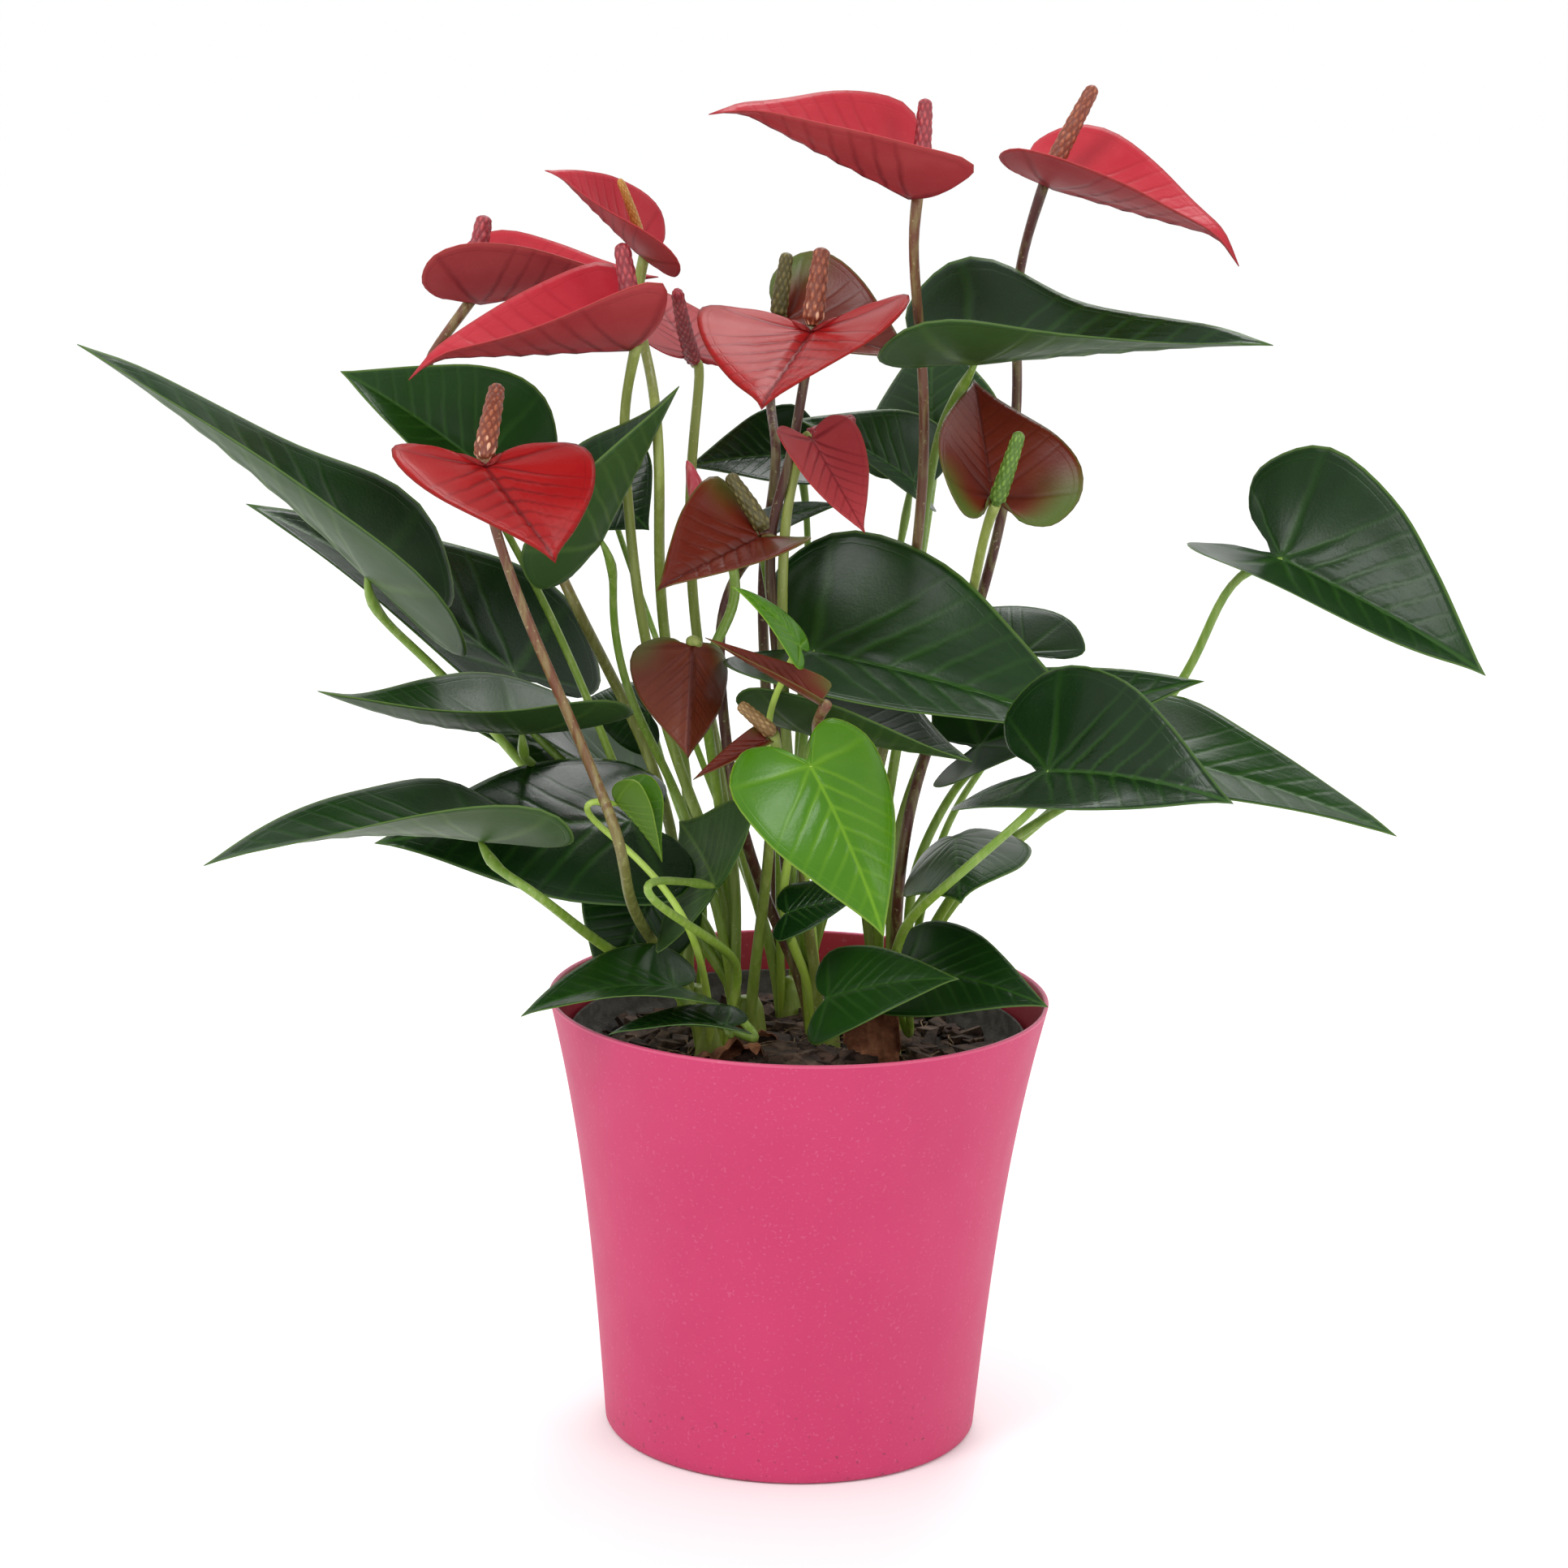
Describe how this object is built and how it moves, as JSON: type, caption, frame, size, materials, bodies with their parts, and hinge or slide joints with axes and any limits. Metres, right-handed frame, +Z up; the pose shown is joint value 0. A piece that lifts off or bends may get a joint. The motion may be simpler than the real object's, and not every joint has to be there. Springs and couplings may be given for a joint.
{
  "type": "potted anthurium",
  "caption": "Flowering pot plant with glossy heart-shaped leaves and red spathes, growing from a nursery pot that stands in a tapered pink cover pot.",
  "frame": {"origin": "centre of the cover pot's flat underside", "axes": "+Z up along the pot's axis; -Y towards the side with most of the low leaves and flowers; +X to the right seen from that side"},
  "size_m": [0.4282, 0.2015, 0.4314],
  "materials": {
    "cover_pot": "smooth moulded pink plastic, satin",
    "nursery_pot": "thin grey-white plastic",
    "potting_mix": "dark brown bark chips, fibres and peat",
    "stem": "smooth green petioles, green to red-brown flower stalks, bumpy spadices",
    "leaf": "glossy dark green with paler veins",
    "young_leaf": "glossy yellow-green with paler veins",
    "spathe": "glossy waxy red with darker veins",
    "old_spathe": "waxy brown-red turning green at the lobes",
    "bud": "glossy pink, tightly rolled"
  },
  "bodies": {
    "root": {"cover_pot": "cover_pot", "flower_bud": "bud", "leaf_01": "leaf", "leaf_02": "leaf", "leaf_03": "leaf", "leaf_04": "leaf", "leaf_05": "leaf", "leaf_06": "leaf", "leaf_07": "leaf", "leaf_08": "leaf", "leaf_09": "leaf", "leaf_10": "leaf", "leaf_11": "leaf", "leaf_12": "leaf", "leaf_13": "young_leaf", "leaf_14": "young_leaf", "leaf_15": "leaf", "leaf_16": "leaf", "leaf_17": "leaf", "leaf_18": "leaf", "leaf_19": "leaf", "leaf_20": "leaf", "leaf_21": "leaf", "leaf_22": "leaf", "leaf_23": "leaf", "leaf_24": "leaf", "leaf_25": "leaf", "leaf_26": "leaf", "leaf_27": "leaf", "leaf_28": "leaf", "leaf_29": "leaf", "leaf_30": "leaf", "leaf_31": "leaf", "leaf_32": "leaf", "leaf_33": "young_leaf", "nursery_pot": "nursery_pot", "potting_mix": "potting_mix", "shoot_1": "stem", "shoot_2": "stem", "shoot_3": "stem", "shoot_4": "stem", "shoot_5": "stem", "shoot_6": "stem", "shoot_7": "stem", "spathe_01": "spathe", "spathe_02": "spathe", "spathe_03": "spathe", "spathe_04": "spathe", "spathe_05": "spathe", "spathe_06": "spathe", "spathe_07": "spathe", "spathe_08": "old_spathe", "spathe_09": "spathe", "spathe_10": "old_spathe", "spathe_11": "spathe", "spathe_12": "old_spathe", "spathe_13": "old_spathe", "spathe_14": "old_spathe", "spathe_15": "old_spathe"}
  },
  "joints": []
}
